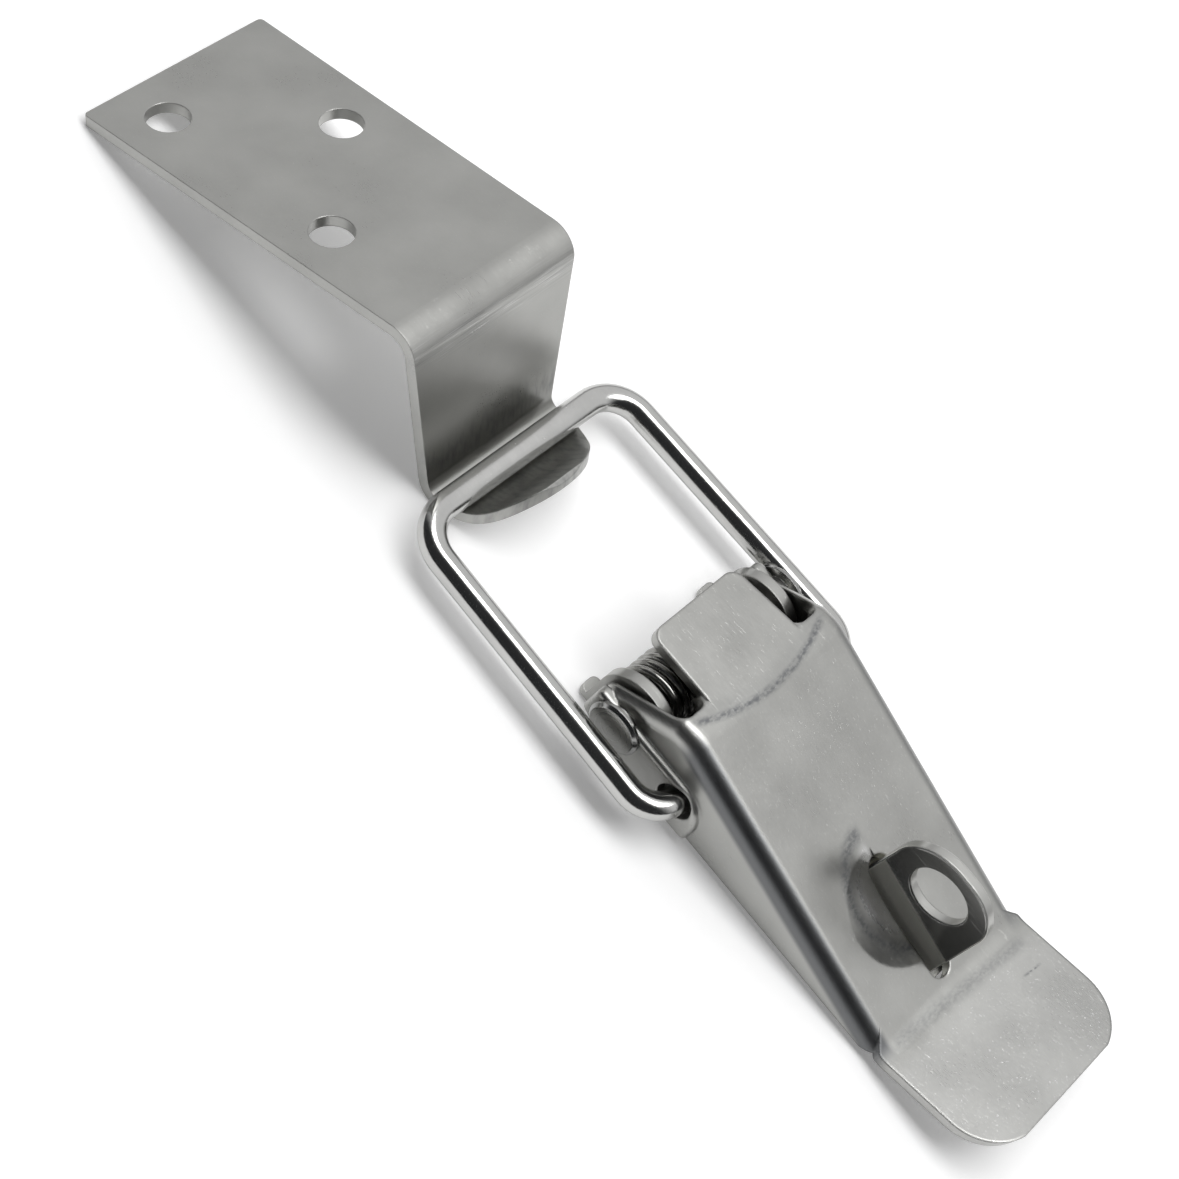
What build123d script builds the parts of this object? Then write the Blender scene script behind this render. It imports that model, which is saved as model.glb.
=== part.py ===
"""Toggle bolt latch in stainless sheet and wire, closed over its catch plate.

The origin is the centre of the base plate's underside.  +X runs from the catch to
the tail of the handle, +Y is across the latch and +Z is up.  All sizes are in
millimetres.
"""
import os
from math import atan2, cos, hypot, radians, sin, tan

from build123d import *

os.makedirs("parts", exist_ok=True)

# Stock
sheet = 1.5                 # thickness of every pressed sheet piece
wire = 3.5                  # diameter of the bail wire
spring_wire = 1.2           # diameter of the torsion spring wire

# Axes across the latch, as X and Z
pivot_x, pivot_z = -21.5, 6.2
bail_x, bail_z = -10.75, 5.4
bar_x, bar_z = -53.6, 4.6

# Base plate and its ears
base_front, base_rear = -25.0, 25.0
base_half = 12.0
ear_radius = 5.2
screw_hole = 4.3
screw_xs = (-9.5, 4.5)
screw_y = 6.3

# Handle, a channel with a tail and a front tongue
handle_half = 13.9
skirt_bottom = 1.0
corner = 2.6
front_x = -25.9
front_z = 8.2
window_x = -16.9
hump_x, hump_z = -14.2, 14.5
heel_x, heel_z = 26.8, 2.98
tail_x, tail_z = 44.0, 7.6
tongue_x, tongue_z = -27.0, 12.9
tongue_tip, tongue_root = 7.4, 8.1
bend = 5.0                  # outside radius of the soft bends across the handle
pad_lift = 0.9
pad_top, pad_rear = 8.2, -6.6
bail_hole = 5.0
slot_front, slot_rear, slot_width = 9.0, 25.4, 3.2
dish_x, dish_radius, dish_depth = 15.0, 7.4, 0.75

# Padlock staple
staple_front, staple_rear = 9.8, 24.1
staple_top = 19.6
staple_foot = 8.2
padlock_x, padlock_z, padlock_hole = 16.75, 13.5, 7.8

# Pivot rivet
pin = 4.8
pin_clearance = 0.05
head = 7.2
head_height = 0.8
head_edge = 0.4
head_gap = 0.1

# Bail
bail_half_front, bail_half_rear = 17.4, 18.6
bail_end_y = 12.5
bar_bend, end_bend = 5.2, 4.2

# Catch plate, measured along its own flange from the free end
catch_front = -116.25
catch_tilt = 23.85
flange = 52.9
flange_half, bend_half = 14.3, 13.4
web_lean = 1.6
web_depth = 24.45
web_half = 10.8
lip_reach = 66.2
lip_rise = 3.9
catch_corner = 0.6
catch_hole = 5.5
catch_holes = ((6.9, -7.3), (21.0, 7.3), (34.0, -7.3))

# Torsion springs
coil_radius = 3.85
coil_turns = 3
coil_pitch = 1.3
coil_start = 9.2
base_leg, handle_leg = 9.5, 10.6
leg_angle = 7

steel = Color(0.62, 0.61, 0.58)


def finish(builder, name):
    """Name one finished piece and write its STEP file."""
    builder.part.label = name
    builder.part.color = steel
    export_step(builder.part, f"parts/{name}.step")


# Base plate: a flat plate with a round ear turned up at each side of the front
ear_inner = base_half - sheet
with BuildPart() as base_plate:
    with BuildSketch(Plane.XY):
        with Locations(((base_front + base_rear) / 2, 0)):
            RectangleRounded(base_rear - base_front, 2 * base_half, 1.5)
    extrude(amount=sheet)
    # the root of each ear runs a little ahead of the plate
    with BuildSketch(Plane.XY):
        for side in (-1, 1):
            with Locations((base_front - 0.6, side * (base_half - 1.3))):
                RectangleRounded(4.4, 2.6, 0.9)
    extrude(amount=sheet)
    # ears
    for side in (-1, 1):
        with BuildSketch(Plane.XZ.offset(-side * (ear_inner + sheet / 2))):
            with Locations((pivot_x, pivot_z)):
                Circle(ear_radius)
            with Locations((pivot_x, pivot_z / 2)):
                Rectangle(2 * ear_radius, pivot_z)
        extrude(amount=sheet / 2, both=True)
    with BuildSketch(Plane.XZ):
        with Locations((pivot_x, pivot_z)):
            Circle(pin / 2)
    extrude(amount=base_half + 1, both=True, mode=Mode.SUBTRACT)
    with BuildSketch(Plane.XY):
        for x in screw_xs:
            with Locations((x, -screw_y), (x, screw_y)):
                Circle(screw_hole / 2)
    extrude(amount=sheet, mode=Mode.SUBTRACT)
    long_edges = base_plate.edges().filter_by(Axis.X).group_by(Axis.Z)[0]
    fillet(long_edges.filter_by(lambda edge: edge.length > 20), 0.6)
finish(base_plate, "base_plate")

# Padlock staple: a round-topped tab on a foot that is welded to the base plate
with BuildPart() as padlock_staple:
    with BuildSketch(Plane.XZ):
        with BuildLine():
            Polyline((staple_front, sheet), (staple_front, staple_top - 6.2))
            CenterArc((staple_front + 6.2, staple_top - 6.2), 6.2, 90, 90)
            Line((staple_front + 6.2, staple_top), (staple_rear - 6.6, staple_top))
            CenterArc((staple_rear - 6.6, staple_top - 6.2), 6.2, 0, 90)
            Polyline((staple_rear - 0.4, staple_top - 6.2), (staple_rear, sheet),
                     (staple_front, sheet))
        make_face()
        with Locations((padlock_x, padlock_z)):
            Circle(padlock_hole / 2, mode=Mode.SUBTRACT)
    extrude(amount=sheet / 2, both=True)
    with BuildSketch(Plane.XY.offset(sheet)):
        with Locations((staple_front + 5, staple_foot / 2)):
            Rectangle(10, staple_foot)
    extrude(amount=sheet)
    chamfer(padlock_staple.edges().filter_by(GeomType.CIRCLE), 0.2)
finish(padlock_staple, "padlock_staple")

# Tongue and tail of the handle: bent strips, each cut to its outline in plan
tongue_slope = atan2(hump_z - tongue_z, hump_x - tongue_x)
tongue_under = sheet / cos(tongue_slope)
window_z = hump_z - (hump_x - window_x) * tan(tongue_slope)
with BuildPart() as tongue:
    with BuildSketch(Plane.XZ):
        with BuildLine():
            Polyline(
                (tongue_x, tongue_z), (window_x + 0.4, window_z + 0.4 * tan(tongue_slope)),
                (window_x + 0.4, window_z + 0.4 * tan(tongue_slope) - tongue_under),
                (tongue_x, tongue_z - tongue_under), close=True)
        make_face()
    extrude(amount=tongue_root, both=True)
    with BuildSketch(Plane.XY):
        with BuildLine():
            FilletPolyline(
                (tongue_x, -tongue_tip), (tongue_x, tongue_tip), (window_x, tongue_root),
                (hump_x, tongue_root), (hump_x, -tongue_root), (window_x, -tongue_root),
                radius=(1.8, 1.8, 0, 0, 0, 0), close=True)
        make_face()
    extrude(amount=20, mode=Mode.INTERSECT)
slope = atan2(hump_z - heel_z, heel_x - hump_x)
under = sheet / cos(slope)
tail_neck = handle_half - 2.8
with BuildPart() as tail:
    with BuildSketch(Plane.XZ):
        with BuildLine():
            FilletPolyline(
                (heel_x - 4, heel_z + 4 * tan(slope) - under / 2), (heel_x, heel_z - under / 2),
                (tail_x, tail_z - under / 2), radius=bend)
        trace(line_width=sheet)
    extrude(amount=handle_half, both=True)
    with BuildSketch(Plane.XY):
        with BuildLine():
            FilletPolyline(
                (heel_x - 6, -tail_neck), (heel_x - 3.4, -tail_neck), (heel_x - 0.4, -handle_half),
                (tail_x, -handle_half), (tail_x, handle_half), (heel_x - 0.4, handle_half),
                (heel_x - 3.4, tail_neck), (heel_x - 6, tail_neck),
                radius=(0, 0.8, 0.8, 7.0, 7.0, 0.8, 0.8, 0), close=True)
        make_face()
    extrude(amount=20, mode=Mode.INTERSECT)

# Handle: first the channel, solid, with its long top edges rounded
front_slope = (window_z - front_z) / (window_x - front_x)
with BuildPart() as handle:
    with BuildSketch(Plane.XZ):
        with BuildLine():
            FilletPolyline(
                (front_x, -4), (front_x, front_z), (window_x, window_z),
                (hump_x, hump_z), (heel_x, heel_z), (heel_x, -4),
                radius=(0, 2.6, 2.0, bend, 0, 0), close=True)
        make_face()
    extrude(amount=handle_half, both=True)
    top_edges = handle.edges().filter_by(
        lambda edge: abs(edge.center().Y) > handle_half - 0.01
        and edge.center().X > window_x and edge.center().X < heel_x - 1
        and edge.center().Z > 0)
    fillet(top_edges, 2.2)
    with BuildSketch(Plane.XZ):
        with BuildLine():
            Polyline(
                (front_x - 1, -5), (front_x - 1, skirt_bottom), (heel_x - 2.4, skirt_bottom),
                (heel_x + 1, heel_z + 0.2), (heel_x + 1, -5), close=True)
        make_face()
    extrude(amount=handle_half + 1, both=True, mode=Mode.SUBTRACT)
    # hollow inside
    with BuildSketch(Plane.XZ):
        with BuildLine():
            Polyline(
                (window_x - 3, -1), (window_x - 3, window_z - 3 * front_slope - 2.0),
                (window_x, window_z - 2.0), (hump_x, hump_z - under),
                (heel_x, heel_z - under), (heel_x, -1), close=True)
        make_face()
    extrude(amount=handle_half - sheet, both=True, mode=Mode.SUBTRACT)
    # open front, with round corners to the window at each side of the tongue
    with BuildSketch(Plane.XY.offset(-1)):
        with Locations((front_x - 2, 0)):
            Rectangle(2 * (window_x - front_x + 2), 2 * tongue_root)
        for side in (-1, 1):
            with BuildLine():
                FilletPolyline(
                    (front_x - 3, side * tongue_root), (window_x, side * tongue_root),
                    (window_x, side * (handle_half - sheet)),
                    (front_x - 3, side * (handle_half - sheet)),
                    radius=(0, 1.4, 1.4, 0), close=True)
            make_face()
    extrude(amount=20, mode=Mode.SUBTRACT)
    add(tongue.part)
    add(tail.part)
    # raised pad on each skirt, which carries the rivet head and the bail end
    for side in (-1, 1):
        outer_face = Plane.XZ.offset(-side * (handle_half - 0.7))
        with BuildSketch(outer_face):
            with BuildLine():
                FilletPolyline(
                    (front_x, skirt_bottom), (front_x, pad_top), (pad_rear, pad_top),
                    (pad_rear, skirt_bottom), radius=(1.0, 1.0, 5.0, 0.5), close=True)
            make_face()
        extrude(amount=-side * (0.7 + pad_lift))
        with BuildSketch(Plane.XZ.offset(-side * (handle_half - sheet - 0.5))):
            with BuildLine():
                FilletPolyline(
                    (front_x - 1, skirt_bottom - 1), (front_x - 1, pad_top - 1.1),
                    (pad_rear - 1.1, pad_top - 1.1), (pad_rear - 1.1, skirt_bottom - 1),
                    radius=(0, 0, 4.0, 0), close=True)
            make_face()
        extrude(amount=-side * (0.5 + pad_lift), mode=Mode.SUBTRACT)
    pad_faces = handle.faces().filter_by(Axis.Y).filter_by(
        lambda face: abs(face.center().Y) > handle_half + pad_lift - 0.01)
    pad_rims = pad_faces.edges().filter_by(
        lambda edge: edge.center().Z > pad_top - 0.01 or edge.center().X > pad_rear - 2)
    fillet(pad_rims, 0.7)
    # the lower front corner of each skirt is round, to swing clear of the surface below
    with BuildSketch(Plane.XZ):
        with BuildLine():
            Line((front_x - 1, skirt_bottom - 1), (front_x - 1, skirt_bottom + corner))
            Line((front_x - 1, skirt_bottom + corner), (front_x, skirt_bottom + corner))
            RadiusArc((front_x, skirt_bottom + corner), (front_x + corner, skirt_bottom), corner)
            Line((front_x + corner, skirt_bottom), (front_x + corner, skirt_bottom - 1))
            Line((front_x + corner, skirt_bottom - 1), (front_x - 1, skirt_bottom - 1))
        make_face()
    extrude(amount=handle_half + 3, both=True, mode=Mode.SUBTRACT)
    # pivot and bail holes
    with BuildSketch(Plane.XZ):
        with Locations((pivot_x, pivot_z)):
            Circle(pin / 2 + pin_clearance)
        with Locations((bail_x, bail_z)):
            Circle(bail_hole / 2)
    extrude(amount=handle_half + 3, both=True, mode=Mode.SUBTRACT)
    # slot for the staple
    with BuildSketch(Plane.XY):
        with Locations(((slot_front + slot_rear) / 2, 0)):
            SlotOverall(slot_rear - slot_front, slot_width)
    extrude(amount=15, mode=Mode.SUBTRACT)

# Dish pressed into the handle's top on one side of the slot
ball = (dish_radius ** 2 + dish_depth ** 2) / (2 * dish_depth)
dish_surface = hump_z - (dish_x - hump_x) * tan(slope)
with BuildPart() as dish:
    with Locations((dish_x + (ball - dish_depth) * sin(slope), -0.8,
                    dish_surface + (ball - dish_depth) * cos(slope))):
        Sphere(ball)
    split(bisect_by=Plane.XZ, keep=Keep.TOP)
with BuildPart() as handle_dished:
    add(handle.part)
    add(dish.part, mode=Mode.SUBTRACT)
finish(handle_dished, "handle")

# Bail: a wire loop whose ends turn inwards through the skirts of the handle
bail_length = hypot(bail_x - bar_x, bail_z - bar_z)
bail_plane = Plane(
    origin=(bar_x, 0, bar_z), x_dir=(bail_x - bar_x, 0, bail_z - bar_z),
    z_dir=(bar_z - bail_z, 0, bail_x - bar_x))
with BuildPart() as bail:
    with BuildLine(bail_plane) as bail_path:
        FilletPolyline(
            (bail_length, -bail_end_y), (bail_length, -bail_half_rear),
            (0, -bail_half_front), (0, bail_half_front),
            (bail_length, bail_half_rear), (bail_length, bail_end_y),
            radius=(end_bend, bar_bend, bar_bend, end_bend))
    with BuildSketch(Plane(bail_path.line @ 0, z_dir=bail_path.line % 0)):
        Circle(wire / 2)
    sweep(path=bail_path.line)
    chamfer(bail.faces().filter_by(GeomType.PLANE).edges(), 0.4)
finish(bail, "bail")

# Pivot rivet: one pin with a low head at each end
head_seat = handle_half + pad_lift + head_gap
with BuildPart() as pivot_rivet:
    with BuildSketch(Plane.XZ) as pin_section:
        with Locations((pivot_x, pivot_z)):
            Circle(pin / 2)
    extrude(amount=head_seat, both=True)
    for side in (-1, 1):
        with BuildSketch(Plane.XZ.offset(-side * head_seat)):
            with Locations((pivot_x, pivot_z)):
                Circle(head / 2)
        extrude(amount=-side * head_height)
    ends = pivot_rivet.faces().filter_by(Axis.Y).filter_by(
        lambda face: abs(face.center().Y) > head_seat + head_height / 2)
    chamfer(ends.edges(), head_edge)
finish(pivot_rivet, "pivot_rivet")

# Torsion springs: one at each side, between the ear and the middle of the pin.  A spring
# is wound about its own Z axis, from the leg on the base plate to the leg on the handle.
coil_angle = 360 * coil_turns + 180 - leg_angle
with BuildPart() as spring:
    with BuildLine() as coil:
        Helix(coil_pitch, coil_pitch * coil_angle / 360, coil_radius)
    coil_path = coil.line.edge()
    with BuildLine() as lead_in:
        Line((coil_path @ 0) - (coil_path % 0) * base_leg, coil_path @ 0)
    with BuildLine() as lead_out:
        Line(coil_path @ 1, (coil_path @ 1) + (coil_path % 1) * handle_leg)
    for path in (lead_in.line, coil.line, lead_out.line):
        with BuildSketch(Plane(path @ 0, z_dir=path % 0)):
            Circle(spring_wire / 2)
        sweep(path=path)
coil_plane = Plane(origin=(pivot_x, -coil_start, pivot_z), x_dir=(0, 0, -1), z_dir=(0, 1, 0))
with BuildPart() as spring_left:
    with Locations(coil_plane.location):
        add(spring.part)
finish(spring_left, "spring_left")
with BuildPart() as spring_right:
    with Locations(coil_plane.location):
        add(spring.part)
    mirror(about=Plane.XZ, mode=Mode.REPLACE)
finish(spring_right, "spring_right")

# Catch plate, built flat and tipped up about its free end, which rests on the ground
web_s = flange + web_lean
with BuildPart() as catch_flat:
    with BuildSketch(Plane.XZ):
        with BuildLine():
            FilletPolyline(
                (0, -sheet / 2), (flange - sheet / 2, -sheet / 2),
                (web_s - sheet / 2, -web_depth - sheet / 2),
                (web_s + 7.0, -web_depth - sheet / 2),
                (lip_reach, -web_depth + lip_rise - sheet / 2),
                radius=(2.9, 2.4, 6.5))
        trace(line_width=sheet)
    extrude(amount=flange_half, both=True)
    # the flange narrows a little towards its bend, and the web more towards the lip
    with BuildSketch(Plane.XY.offset(-web_depth - 5)):
        for side in (-1, 1):
            with BuildLine():
                Polyline(
                    (0, side * flange_half), (flange, side * bend_half),
                    (lip_reach, side * bend_half), (lip_reach, side * (flange_half + 2)),
                    (0, side * (flange_half + 2)), close=True)
            make_face()
    extrude(amount=web_depth + 6, mode=Mode.SUBTRACT)
    for side in (-1, 1):
        with BuildSketch(Plane.YZ.offset(flange - 8)):
            with BuildLine():
                Polyline(
                    (side * bend_half, -3.0), (side * web_half, -web_depth + 1.0),
                    (side * web_half, -web_depth - 5), (side * (flange_half + 2), -web_depth - 5),
                    (side * (flange_half + 2), -3.0), close=True)
            make_face()
        extrude(amount=25, mode=Mode.SUBTRACT)
    # half-moon lip
    with BuildSketch(Plane.XY.offset(-web_depth - 5)):
        with Locations((web_s + 12, 0)):
            Rectangle(20, 40)
        with Locations((web_s + 2, 0)):
            Ellipse(lip_reach - web_s - 2, web_half, mode=Mode.SUBTRACT)
    extrude(amount=12, mode=Mode.SUBTRACT)
    with BuildSketch(Plane.XY.offset(-2 * sheet)):
        with Locations(catch_holes):
            Circle(catch_hole / 2)
    extrude(amount=3 * sheet, mode=Mode.SUBTRACT)
    corner_edges = catch_flat.edges().filter_by(Axis.Z).group_by(Axis.X)[0]
    fillet(corner_edges, catch_corner)
swing = radians(catch_tilt)
with BuildPart() as catch_plate:
    with Locations(Location((catch_front, 0, sheet * cos(swing)), (0, -catch_tilt, 0))):
        add(catch_flat.part)
finish(catch_plate, "catch_plate")
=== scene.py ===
# %% [markdown]
# A toggle bolt latch: the small over-centre clamp that pulls the lid of a case down onto its
# seal. A pressed handle turns on a rivet between two ears, and it pulls a wire loop, the bail,
# which hooks into a separate catch plate. The metal shapes already exist as an exact model.
# This lesson loads them, winds the springs, and gives every piece a finish like the one that it
# has on a real latch: rolled stainless sheet, drawn wire, rivet heads and dark spring wire.

# %% Load the exact model
from math import cos, pi, radians, sin

import bmesh
import bpy
from mathutils import Matrix, Vector


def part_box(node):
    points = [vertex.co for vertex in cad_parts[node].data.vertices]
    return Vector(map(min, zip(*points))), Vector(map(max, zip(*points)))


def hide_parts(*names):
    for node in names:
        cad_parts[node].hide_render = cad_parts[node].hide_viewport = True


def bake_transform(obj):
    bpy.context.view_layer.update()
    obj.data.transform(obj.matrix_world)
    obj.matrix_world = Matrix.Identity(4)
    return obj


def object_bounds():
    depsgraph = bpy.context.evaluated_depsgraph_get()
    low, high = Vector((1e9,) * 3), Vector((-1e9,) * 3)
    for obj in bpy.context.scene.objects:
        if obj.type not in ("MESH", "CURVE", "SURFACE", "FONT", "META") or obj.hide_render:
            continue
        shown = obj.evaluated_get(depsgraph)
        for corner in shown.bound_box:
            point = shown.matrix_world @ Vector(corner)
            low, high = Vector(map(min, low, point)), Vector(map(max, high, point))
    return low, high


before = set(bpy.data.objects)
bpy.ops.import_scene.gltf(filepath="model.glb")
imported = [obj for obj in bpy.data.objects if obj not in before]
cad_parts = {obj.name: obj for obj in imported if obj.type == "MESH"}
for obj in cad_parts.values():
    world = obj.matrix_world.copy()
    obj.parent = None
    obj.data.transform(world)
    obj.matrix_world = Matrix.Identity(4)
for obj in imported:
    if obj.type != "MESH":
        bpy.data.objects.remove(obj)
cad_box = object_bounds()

print("pieces:", sorted(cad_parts))
print("box in mm:", [[round(v * 1000, 2) for v in corner] for corner in cad_box])

# %% [markdown]
# Every place that follows comes from the model itself. The pivot is the middle of the rivet's
# box, and the handle's top runs down from the hump behind the tongue to the heel, where the
# tail turns up again. The distances that are added to a box, here and in the finishes, belong
# to this latch alone, so the marks would land in the wrong places on another size.

# %% Read the landmarks
mm = 0.001
pivot_low, pivot_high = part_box("pivot_rivet")
pivot = (pivot_low + pivot_high) / 2
handle_low, handle_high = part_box("handle")
catch_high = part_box("catch_plate")[1]
hump = Vector((pivot.x + 7.3 * mm, 0, handle_high.z + 0.09 * mm))
heel = Vector((handle_high.x - 17.2 * mm, 0, handle_low.z + 1.98 * mm))
fall = (hump.z - heel.z) / (heel.x - hump.x)
print("pivot at", [round(v * 1000, 2) for v in pivot], "mm, top falls", round(fall, 3), "per unit")

# %% [markdown]
# A finish is a small calculation: where is this point, how far is it from the crease, how
# rough does that make it? Shader nodes can do that sum, but wiring them by hand hides it. This
# class wraps one socket, so that the sum can be written as ordinary Python. Each operator adds
# one Math node, and the reflected forms let a plain number stand on the left.

# %% A socket that can be used in sums
class Signal:
    """One shader socket, with ordinary arithmetic on it."""

    def __init__(self, tree, socket=None):
        self.tree = tree
        self.socket = socket

    def node(self, kind, settings=None, inputs=None, output=0):
        """Add any node: its settings are set first, then its sockets are filled or linked."""
        made = self.tree.nodes.new(kind)
        for name, value in (settings or {}).items():
            setattr(made, name, value)
        for name, value in (inputs or {}).items():
            if isinstance(value, Signal):
                self.tree.links.new(value.socket, made.inputs[name])
            else:
                made.inputs[name].default_value = value
        return Signal(self.tree, made.outputs[output])

    def sum(self, operation, *values):
        return self.node("ShaderNodeMath", {"operation": operation}, dict(enumerate(values)))

    def __add__(self, other):
        return self.sum("ADD", self, other)

    def __sub__(self, other):
        return self.sum("SUBTRACT", self, other)

    def __rsub__(self, other):
        return self.sum("SUBTRACT", other, self)

    def __mul__(self, other):
        return self.sum("MULTIPLY", self, other)

    def __truediv__(self, other):
        return self.sum("DIVIDE", self, other)

    def __pow__(self, other):
        return self.sum("POWER", self, other)

    def __abs__(self):
        return self.sum("ABSOLUTE", self)

    __radd__ = __add__
    __rmul__ = __mul__

    def rise(self, low, high):
        """0 below low, 1 above high and a smooth rise between. low may be above high."""
        return self.node("ShaderNodeMapRange", {"interpolation_type": "SMOOTHSTEP"},
                         {"Value": self, "From Min": low, "From Max": high})

    def ridge(self, width):
        """1 where this is 0, falling smoothly to 0 at width to either side."""
        return abs(self).rise(width, 0.0)


print("sums ready")

# %% [markdown]
# Mix nodes keep three sets of sockets with the same names, one each for numbers, vectors and
# colours, and a name finds the first. The colour set is asked for by its identifier, so that
# a tint keeps its hue.

# %% Colour mixing
def blend_colour(factor, first, second):
    """A colour between first and second. Each is a colour signal or a plain colour."""
    made = factor.tree.nodes.new("ShaderNodeMix")
    made.data_type = "RGBA"
    factor.tree.links.new(factor.socket, made.inputs["Factor"])
    for socket, value in ((made.inputs[6], first), (made.inputs[7], second)):
        if isinstance(value, Signal):
            factor.tree.links.new(value.socket, socket)
        else:
            socket.default_value = (*value, 1)
    return Signal(factor.tree, made.outputs[2])


print("colour mixing ready")

# %% [markdown]
# Places are measured in millimetres in the latch's own frame. A body's pieces keep their own
# coordinates while the body swings, so a stain or crease stays on its spot in every pose. The
# stretch makes one noise into many marks: squeezed across the strip it becomes rolling lines.

# %% Places and noise
class Surface:
    """The start of a material: its node tree, the place of a point, and its noises."""

    def __init__(self, name):
        self.material = bpy.data.materials.new(name)
        self.material.use_nodes = True
        self.tree = self.material.node_tree
        self.shader = self.tree.nodes["Principled BSDF"]
        start = Signal(self.tree)
        here = start.node("ShaderNodeTexCoord", output="Object")
        self.place = start.node("ShaderNodeVectorMath", {"operation": "SCALE"},
                                {"Vector": here, "Scale": 1000.0})
        split = start.node("ShaderNodeSeparateXYZ", inputs={"Vector": self.place})
        axes = split.socket.node.outputs
        self.x, self.y, self.z = (Signal(self.tree, axes[name]) for name in "XYZ")

    def noise(self, stretch, detail=2.0, turn=0.0, seed=0.0):
        """Noise from 0 to 1. stretch is how many grains there are to a millimetre on each axis."""
        spot = self.place.node("ShaderNodeMapping", {},
                               {"Vector": self.place, "Location": (seed, seed, seed),
                                "Rotation": (0, 0, turn), "Scale": stretch})
        return self.place.node("ShaderNodeTexNoise", {}, {"Vector": spot, "Scale": 1.0,
                                                          "Detail": detail})

    def finish(self, colour, roughness, height, metallic=1.0, depth=0.02, edge=0.2):
        """Connect the finish. depth is the height's size and edge the softness of edges, in mm."""
        rounded = self.place.node("ShaderNodeBevel", {"samples": 6}, {"Radius": edge * mm})
        bumped = self.place.node("ShaderNodeBump", {}, {
            "Strength": 1.0, "Distance": depth * mm, "Height": height, "Normal": rounded})
        for name, value in (("Base Color", colour), ("Roughness", roughness),
                            ("Metallic", metallic), ("Normal", bumped)):
            if isinstance(value, Signal):
                self.tree.links.new(value.socket, self.shader.inputs[name])
            else:
                self.shader.inputs[name].default_value = value
        print("finish", self.material.name, "has", len(self.tree.nodes), "nodes")
        return self.material


print("places and noise ready")

# %% [markdown]
# Rolled stainless sheet is never one grey. It has broad cloudy patches from handling, very
# fine lines along the rolling direction, tiny bright nicks from the tumbling drum that takes
# off the burrs, and a few longer scratches. Each is one noise at its own scale. The layers are
# kept apart here because the staple's finish reuses them.

# %% The layers of sheet steel
def sheet_layers(surface):
    """The marks that every pressed sheet piece shows: clouds, grain, nicks and scratches."""
    clouds = surface.noise((0.11, 0.11, 0.11), detail=4.0)
    grain = surface.noise((0.35, 5.0, 5.0), detail=3.0, seed=7.0)
    nicks = surface.noise((4.6, 5.4, 5.4), detail=1.0, seed=3.0).rise(0.71, 0.80)
    scratches = surface.noise((0.12, 6.5, 6.5), detail=0.0, turn=0.5, seed=11.0).rise(0.76, 0.80)
    return clouds, grain, nicks, scratches


def sheet_finish(name, marks=None, speckle=1.0, tone=(0.385, 0.385, 0.370), edge=0.22):
    """Satin rolled sheet. marks gives dark marks with painted shade, and bright marks with painted
    highlight.
    """
    surface = Surface(name)
    clouds, grain, nicks, scratches = sheet_layers(surface)
    dark = tuple(0.86 * part for part in tone)
    light = tuple(1.12 * part for part in tone)
    colour = blend_colour((clouds - 0.5) * 1.5 + grain * 0.25 + 0.4, dark, light)
    colour = blend_colour(nicks * (0.30 * speckle), colour, (0.70, 0.70, 0.69))
    shine = 0.31 + (clouds - 0.5) * 0.14 + (grain - 0.5) * 0.10 + nicks * (0.08 * speckle)
    relief = grain * 0.25 + clouds * 0.30 - nicks * (0.12 * speckle) - scratches * 0.35
    if marks is not None:
        rubbed, bright_marks_and_painted_highlight = marks(surface)
        # Paler where the bright marks and the painted highlight lie.
        colour = blend_colour(bright_marks_and_painted_highlight, colour, (0.80, 0.80, 0.80))
        # Darker where press marks lie and where shade is painted along bends and edges.
        colour = blend_colour(rubbed, colour, (0.075, 0.08, 0.09))
        shine = shine + rubbed * 0.10 - bright_marks_and_painted_highlight * 0.08
    return surface.finish(colour, shine, relief, depth=0.012, edge=edge)


print("sheet layers ready")
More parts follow.
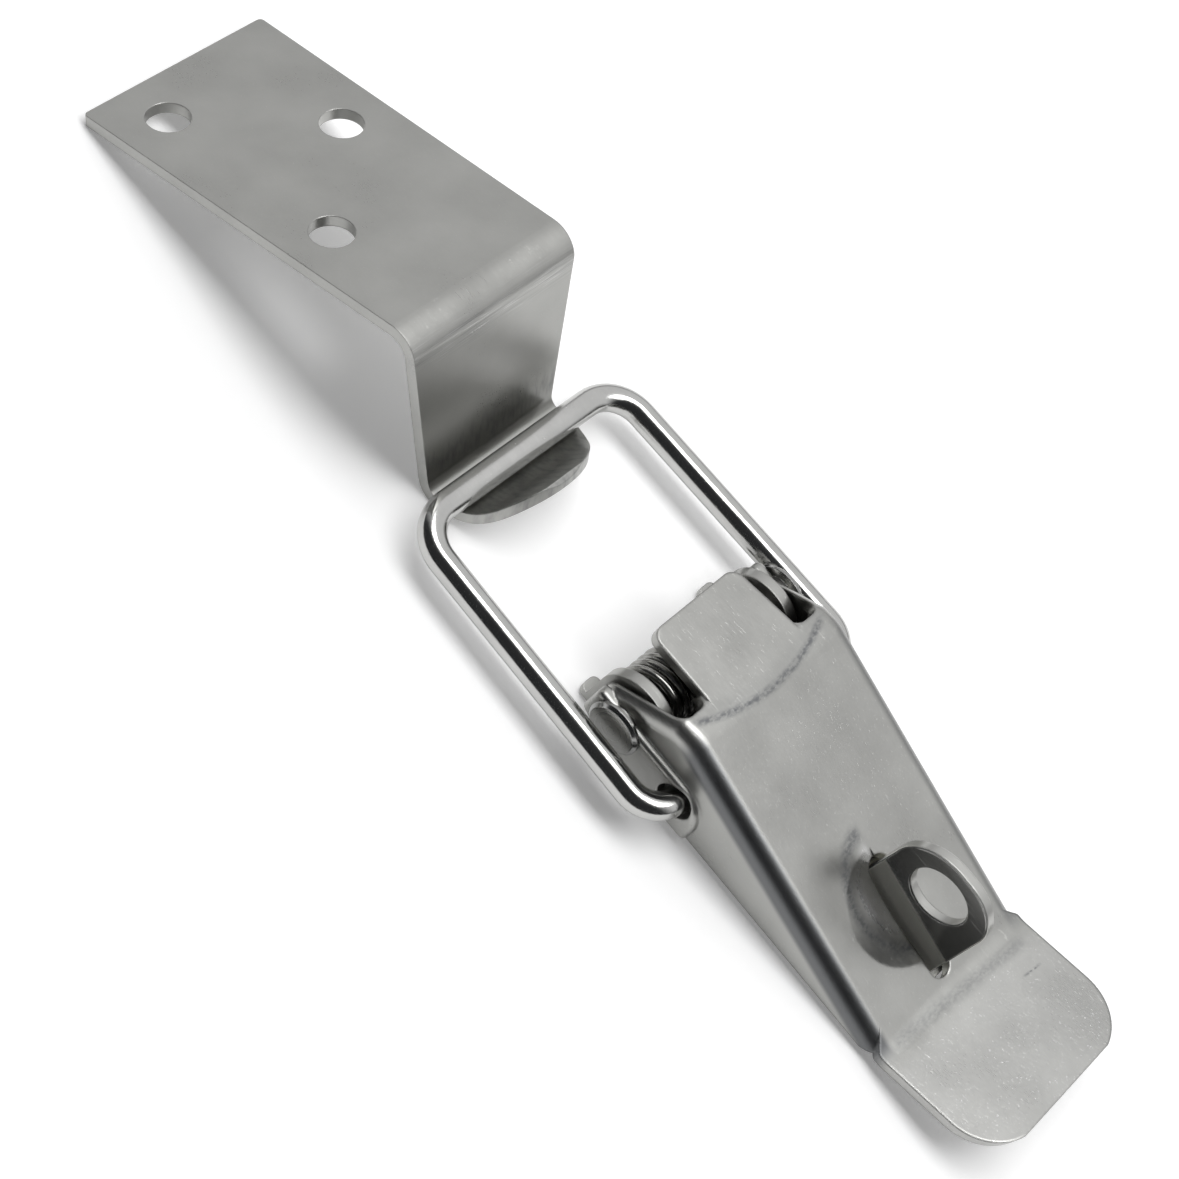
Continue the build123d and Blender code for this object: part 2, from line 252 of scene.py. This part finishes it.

# %% [markdown]
# Behind the handle's tongue runs a curved crease, around the slot there is a shallow dish with a
# rim, and across the heel the tail turns up. Along each of them the colour is painted darker, as
# painted shade of the bend, and the steel is made duller. Each mark is the distance from a line
# or a ring, turned into a soft ridge and broken up by noise. The long rounded edges are painted
# darker too, as painted shade, and the tail, which every thumb polishes, sparkles with fine
# flecks and has one short scratch.
#
# Three of these marks are not known wear. The near long edge is painted darker than the far
# one, the dish has a pale floor, a painted highlight, and a painted shadow runs beside the
# crease. Such paint stays where it is when the view changes, so the pale floor shows as a white
# patch from the tail end, where a real dish would only catch the light.

# %% Press marks and painted light of the handle
def handle_marks(surface):
    x, y, z = surface.x, surface.y, surface.z
    break_up_noise = surface.noise((2.6, 1.5, 1.5), detail=4.0, seed=5.0).rise(0.30, 0.66)
    on_top = z.rise(1.5, 3.0) * abs(y).rise(12.4, 10.6)
    crease_x = y * y * -0.019 + (hump.x * 1000 + 0.7)
    # Painted shade: a dark line along the crease behind the tongue, broken up by noise.
    crease_painted_shade = (x - crease_x).ridge(0.85) * (0.22 + break_up_noise * 0.50)
    shadow = (x - crease_x + 0.9).ridge(1.8) * 0.14
    reach = ((x - 13.0) / 8.4) ** 2 + (y / 7.1) ** 2
    # Painted shade: a dark ring along the dish's rim, on the near side of the slot only.
    dish_rim_painted_shade = (reach ** 0.5 - 0.88).ridge(0.19) * y.rise(0.4, -1.0) * (0.32 + break_up_noise * 0.40)
    # Painted shade: a dark band where the tail turns up at the heel.
    heel_x = x + (y - 8.0) * -0.09 - (heel.x * 1000 + 1.8)
    heel_bend_painted_shade = heel_x.ridge(1.5) * (0.16 + break_up_noise * 0.22)
    top = hump.z * 1000 - (x - hump.x * 1000) * fall
    # Painted shade: the long rounded edges are darker, the near edge more than the far one.
    along_edges = abs(y).rise(11.5, 12.5) * (z - top).rise(-3.4, -2.2) * x.rise(28.5, 26.0)
    long_edge_painted_shade = along_edges * x.rise(-16.0, -13.0) * (y.rise(1.0, -1.0) * 0.40 + 0.34)
    slip = (x - 32.0 - (y - 9.0) * 0.10).ridge(0.28) * (y - 9.4).ridge(2.6) * break_up_noise * 0.8
    tail = x.rise(heel.x * 1000 + 0.5, heel.x * 1000 + 4.0)
    flecks = surface.noise((3.4, 3.4, 3.4), detail=2.0, seed=13.0).rise(0.64, 0.74)
    patches = surface.noise((0.22, 0.22, 0.22), detail=2.0, seed=15.0).rise(0.40, 0.62)
    # Painted highlight: a pale floor inside the dish, on the near side of the slot.
    dish_floor_painted_highlight = reach.rise(0.60, 0.25) * y.rise(0.0, -0.8) * on_top
    bright_marks_and_painted_highlight = flecks * patches * (tail * 0.60 + 0.12) + tail * 0.10 + dish_floor_painted_highlight * 0.80
    return (crease_painted_shade + shadow + dish_rim_painted_shade + heel_bend_painted_shade + slip) * on_top + long_edge_painted_shade, bright_marks_and_painted_highlight


handle_steel = sheet_finish("pressed_handle_steel", handle_marks, speckle=1.2, edge=0.5)

# %% [markdown]
# The padlock staple is a tab that stands up through the slot. Its upper face mirrors the dark
# room, and its colour is also painted darker there, a painted dark reflection. A band just above
# the slot is pale. What makes the band on a real latch is not known. Here it is a guess: painted
# light, a pale matt colour in place of the pale light seen there, with a slanted relief, and there
# is no such step in the mesh. The band follows the handle's slope, so it is measured from the
# handle's top and not from the ground. Only its top edge is drawn. Below it the pale painted
# colour runs on over the rest of the tab and its foot, which is hidden while the latch is closed
# but shows as a cream block when the handle is up. A real staple would be bare steel there.

# %% Finish of the staple
def staple_finish():
    surface = Surface("padlock_staple_steel")
    clouds, grain, nicks, scratches = sheet_layers(surface)
    handle_top = hump.z * 1000 - (surface.x - hump.x * 1000) * fall
    above = surface.z - handle_top
    on_face = abs(surface.y).rise(0.66, 0.74)
    # Painted light: a pale matt band above the slot, which runs on over the tab's foot.
    matt_pale_band_painted_light = above.rise(2.7, 2.2) * on_face
    # Painted reflection: the upper face is painted darker, as the mirrored dark room.
    polished_painted_dark_reflection = above.rise(2.3, 3.4) * on_face
    colour = blend_colour(clouds, (0.40, 0.40, 0.385), (0.50, 0.50, 0.48))
    colour = blend_colour(matt_pale_band_painted_light, colour, (0.86, 0.85, 0.76))
    colour = blend_colour(polished_painted_dark_reflection * 0.35, colour, (0.16, 0.16, 0.155))
    shine = 0.30 - polished_painted_dark_reflection * 0.08 + matt_pale_band_painted_light * 0.22 + (grain - 0.5) * 0.08
    slant = above.sum("MINIMUM", above, 2.4) * surface.y.rise(-0.60, -0.70) * 110.0
    relief = grain * 0.3 + clouds * 0.4 - scratches * 0.4 - nicks * 0.4 - slant
    return surface.finish(colour, shine, relief,
                          metallic=1.0 - matt_pale_band_painted_light * 0.85, depth=0.012, edge=0.2)


staple_steel = staple_finish()

# %% [markdown]
# The catch plate is plain sheet too, but its bends show where the steel was pulled over the
# die: fine lines run along the first bend, and the web between flange and lip has rolling
# streaks that run down it. The marks are measured in the latch's frame, like every place.

# %% Press marks and painted light of the catch plate
def catch_marks(surface):
    x, z = surface.x, surface.z
    bend_x = catch_high.x * 1000 - 18.5
    fine = surface.noise((5.5, 0.10, 5.5), detail=2.0, seed=2.0).rise(0.45, 0.75)
    first_bend = (x - bend_x).ridge(3.4) * z.rise(17.0, 20.0)
    streaks = surface.noise((0.9, 1.6, 0.12), detail=3.0, seed=9.0).rise(0.35, 0.80)
    web = (x - (bend_x + 4.5)).rise(0.0, 3.0) * z.rise(1.5, 4.0)
    # Painted light: the far half of the web is painted lighter than the near half.
    far_web_painted_light = surface.y.rise(2.0, 9.0) * web * z.rise(3.0, 9.0)
    lines = surface.noise((7.0, 0.16, 7.0), detail=2.0, seed=12.0).rise(0.56, 0.70)
    dark = first_bend * fine * 0.50 + web * streaks * 0.42 - far_web_painted_light * 0.12
    return dark, first_bend * lines * 0.55


catch_steel = sheet_finish("pressed_catch_steel", catch_marks, speckle=0.7)
plain_steel = sheet_finish("pressed_base_steel", speckle=0.8)

# %% [markdown]
# Drawn wire is brighter than sheet, because the drawing die polishes it, and its marks are
# long lines along the wire. The bail lies almost along the latch, so noise that is stretched
# that way gives the right lines on its arms. Small flats are worn where the loop touches the
# catch plate, which shows as a duller patch on the bar.

# %% Finish of the bail wire
def wire_finish():
    surface = Surface("drawn_bail_wire")
    bail_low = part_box("bail")[0]
    drawn = surface.noise((0.25, 7.0, 7.0), detail=3.0, seed=4.0)
    clouds = surface.noise((0.3, 0.3, 0.3), detail=3.0)
    nicks = surface.noise((3.0, 3.0, 3.0), detail=1.0, seed=8.0).rise(0.72, 0.80)
    worn = (surface.x - bail_low.x * 1000).rise(4.5, 2.0) * abs(surface.y).rise(12.0, 9.0)
    colour = blend_colour(clouds * 0.7 + drawn * 0.3, (0.43, 0.43, 0.42), (0.60, 0.60, 0.585))
    shine = 0.15 + (drawn - 0.5) * 0.12 + worn * 0.08 + nicks * 0.10
    return surface.finish(colour, shine, drawn * 0.5 + clouds * 0.5 - nicks * 0.6,
                          depth=0.010, edge=0.15)


wire_steel = wire_finish()

# %% [markdown]
# A rivet head is pressed by a spinning tool, which leaves faint rings about the pin's axis.
# The distance from that axis makes rings of any pitch: a sine would be too even, so noise is
# read along the distance. The groove under the head and the rim are darker in colour.

# %% Finish of the rivet
def rivet_finish():
    surface = Surface("spun_rivet_steel")
    dx = surface.x - pivot.x * 1000
    dz = surface.z - pivot.z * 1000
    radius = (dx * dx + dz * dz) ** 0.5
    ring_place = surface.place.node("ShaderNodeCombineXYZ", {}, {"X": radius * 4.0, "Y": 0.5})
    rings = surface.place.node("ShaderNodeTexNoise", {}, {"Vector": ring_place, "Scale": 1.0,
                                                          "Detail": 2.0})
    clouds = surface.noise((0.5, 0.5, 0.5), detail=3.0)
    rim = radius.rise(2.9, 3.3)
    colour = blend_colour(clouds, (0.40, 0.40, 0.385), (0.50, 0.50, 0.485))
    colour = blend_colour(rim * 0.45, colour, (0.16, 0.16, 0.165))
    shine = 0.28 + (rings - 0.5) * 0.08 - rim * 0.08
    return surface.finish(colour, shine, rings * 0.2 + clouds * 0.3, depth=0.010, edge=0.15)


rivet_steel = rivet_finish()

# %% [markdown]
# Spring wire keeps the grey film of its heat treatment, so it is the darkest steel on the
# latch, with bright lines only where neighbouring turns have rubbed. Its coil is wound about
# the pivot, and the rubbed lines follow the coil, so they are read across the latch.

# %% Finish of the springs
def spring_finish():
    surface = Surface("spring_wire")
    film = surface.noise((1.2, 1.2, 1.2), detail=3.0, seed=6.0)
    rubbed = surface.noise((0.4, 9.0, 0.4), detail=1.0, seed=1.0).rise(0.55, 0.72)
    colour = blend_colour(film, (0.20, 0.20, 0.19), (0.36, 0.355, 0.34))
    colour = blend_colour(rubbed * 0.5, colour, (0.55, 0.55, 0.54))
    shine = 0.24 + (film - 0.5) * 0.20 - rubbed * 0.08
    return surface.finish(colour, shine, film * 0.5 + rubbed * 0.3, depth=0.012, edge=0.1)


spring_steel = spring_finish()

# %% [markdown]
# Each torsion spring is one wire: a straight leg on the base plate, about three and a half
# turns round the rivet, and a straight leg under the handle's roof. Only a few turns can be
# seen on a closed latch, so their number and both legs are guesses. The exact model is stiff.
# Here it is wound again as a line of points with a round section, and the line is then made a
# mesh. The coil's place and width are read from the exact spring's box, and the wire, pitch,
# turns and legs are the exact spring's own sizes.

# %% Wind the springs
def wind_spring(name, side):
    """side is -1 for the near spring and 1 for the far one."""
    low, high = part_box(name)
    wire_radius, pitch = 0.6 * mm, 1.3 * mm
    base_leg, handle_leg = 9.5, 10.6
    whole_turns, last_turn = 3, 173
    steps = 220
    radius = pivot.z - low.z - wire_radius
    climb = pitch / (2 * pi * radius)
    turn_end = 2 * pi * whole_turns + radians(last_turn)
    start_y = max(abs(low.y), abs(high.y)) - wire_radius - base_leg * mm * climb

    def coil(angle):
        return Vector((pivot.x - radius * sin(angle),
                       side * (start_y - pitch * angle / (2 * pi)),
                       pivot.z - radius * cos(angle)))

    def heading(angle):
        return Vector((-cos(angle), -side * climb, sin(angle)))

    line = [coil(0) - heading(0) * step * mm for step in (base_leg, 7.0, 4.0, 1.5)]
    line += [coil(turn_end * step / steps) for step in range(steps + 1)]
    line += [coil(turn_end) + heading(turn_end) * step * mm
             for step in (1.5, 4.0, 7.0, handle_leg)]
    curve = bpy.data.curves.new(name + "_line", "CURVE")
    curve.dimensions = "3D"
    curve.bevel_depth = wire_radius
    curve.bevel_resolution = 6
    curve.use_fill_caps = True
    spline = curve.splines.new("POLY")
    spline.points.add(len(line) - 1)
    for point, place in zip(spline.points, line):
        point.co = (*place, 1)
    wound = bpy.data.objects.new(name + "_wound", curve)
    bpy.context.scene.collection.objects.link(wound)
    bpy.context.view_layer.update()
    shape = bpy.data.meshes.new_from_object(wound.evaluated_get(
        bpy.context.evaluated_depsgraph_get()))
    bpy.data.objects.remove(wound)
    piece = bpy.data.objects.new(name + "_wire", shape)
    bpy.context.scene.collection.objects.link(piece)
    shape.polygons.foreach_set("use_smooth", [len(face.vertices) == 4 for face in shape.polygons])
    shape.materials.clear()
    shape.materials.append(spring_steel)
    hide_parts(name)
    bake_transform(piece)
    print(piece.name, "has", len(shape.vertices), "points")


for name, side in (("spring_left", -1), ("spring_right", 1)):
    wind_spring(name, side)

# %% [markdown]
# The exact pieces keep their meshes and only change their finish. One material goes into every
# slot of a node, which is how a piece that was cut, bent and tumbled as one comes out.

# %% Put the finishes on
finishes = {
    "handle": handle_steel, "padlock_staple": staple_steel, "catch_plate": catch_steel,
    "base_plate": plain_steel, "bail": wire_steel, "pivot_rivet": rivet_steel}
for name, finish in finishes.items():
    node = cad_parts[name]
    node.data.materials.clear()
    node.data.materials.append(finish)
    print(name, "wears", finish.name)

# %% [markdown]
# A mirror-like metal shows the room more than itself, so the light is half of the finish. The
# room is a tent that is pale behind the latch and dark in front of it, with one long softbox
# nearly overhead. Flat tops then look pale grey, the long bends turn dark, and each wire gets
# a thin white line, while the pale floor lights the upright faces from below. The price is paid
# from behind, where the same tops mirror the dark side and look nearly black.

# %% The room
world = bpy.data.worlds.new("studio")
bpy.context.scene.world = world
world.use_nodes = True
sky = Signal(world.node_tree)
look = sky.node("ShaderNodeTexCoord", output="Generated")
parts = sky.node("ShaderNodeSeparateXYZ", inputs={"Vector": look}).socket.node.outputs
back, up = Signal(world.node_tree, parts["Y"]), Signal(world.node_tree, parts["Z"])
pale = back.rise(-0.22, 0.26) * (0.30 + 0.70 * up.rise(0.0, 0.34))
room = blend_colour(pale, (0.035, 0.036, 0.038), (0.86, 0.86, 0.865))
background = world.node_tree.nodes["Background"]
world.node_tree.links.new(room.socket, background.inputs["Color"])
background.inputs["Strength"].default_value = 1.0
print("room ready")

# %% [markdown]
# The softbox is a long area light over the latch, a little to the back. It is large for its
# distance, so the shadows under the latch are soft.

# %% The softbox
def softbox(name, place, aim_at, width, length, power):
    """An area light at place that faces aim_at, with its length along X."""
    light = bpy.data.lights.new(name, "AREA")
    light.shape = "RECTANGLE"
    light.size = length
    light.size_y = width
    light.energy = power
    lamp = bpy.data.objects.new(name, light)
    bpy.context.scene.collection.objects.link(lamp)
    facing = (Vector(place) - Vector(aim_at)).normalized()
    along = Vector((1, 0, 0))
    across = facing.cross(along).normalized()
    turned = Matrix((along, across, along.cross(across))).transposed()
    lamp.matrix_world = Matrix.Translation(Vector(place)) @ turned.to_4x4()
    print(name, "at", [round(v, 2) for v in place])


centre = Vector((-0.036, 0, 0))
softbox("overhead_softbox", (-0.036, 0.11, 0.80), centre, width=0.30, length=1.1, power=5.2)

# %% [markdown]
# The floor is a plain pale sheet under the latch. The latch stands on it with its base plate
# and with the free end of the catch plate. It is lit a little from below, as on a light table,
# which keeps the shadows thin and fills the undersides of the steel.

# %% The floor
floor_mesh = bpy.data.meshes.new("floor")
floor_form = bmesh.new()
bmesh.ops.create_grid(floor_form, x_segments=8, y_segments=8, size=1.5)
floor_form.to_mesh(floor_mesh)
floor_form.free()
floor = bpy.data.objects.new("floor", floor_mesh)
bpy.context.scene.collection.objects.link(floor)
floor.location = (centre.x, 0, cad_box[0][2] - 0.00002)
paper = Surface("pale_paper")
fibres = paper.noise((0.8, 0.8, 0.8), detail=4.0)
paper_colour = blend_colour(fibres, (0.86, 0.86, 0.86), (0.90, 0.90, 0.90))
floor.data.materials.append(
    paper.finish(paper_colour, 0.9, fibres, metallic=0.0, depth=0.01, edge=0.01))
paper.shader.inputs["Emission Color"].default_value = (1.0, 1.0, 1.0, 1)
paper.shader.inputs["Emission Strength"].default_value = 0.22
print("floor at", round(floor.location.z * 1000, 3), "mm")

# %% [markdown]
# The camera looks down on the latch from the front and is rolled, so that the latch lies
# across the picture from corner to corner. A long lens keeps its proportions calm.

# %% The camera
def place_camera(azimuth, elevation, roll, target, distance, lens):
    """Look at target from an angle. The back vector points from the target to the camera."""
    a, e, r = radians(azimuth), radians(elevation), radians(roll)
    back = Vector((sin(a) * cos(e), -cos(a) * cos(e), sin(e)))
    right = Vector((cos(a), sin(a), 0))
    upward = back.cross(right)
    turned = Matrix((right * cos(r) + upward * sin(r),
                     -right * sin(r) + upward * cos(r), back)).transposed()
    data = bpy.data.cameras.new("camera")
    data.lens = lens
    data.sensor_width = 36
    camera = bpy.data.objects.new("camera", data)
    bpy.context.scene.collection.objects.link(camera)
    camera.matrix_world = Matrix.Translation(Vector(target) + back * distance) @ turned.to_4x4()
    bpy.context.scene.camera = camera
    return camera


camera = place_camera(azimuth=4.94, elevation=56.25, roll=46.11,
                      target=(-0.0361, 0, -0.0022), distance=0.3174, lens=81.08)
bpy.context.scene.view_settings.view_transform = "Standard"
print("camera at", [round(v, 4) for v in camera.location])
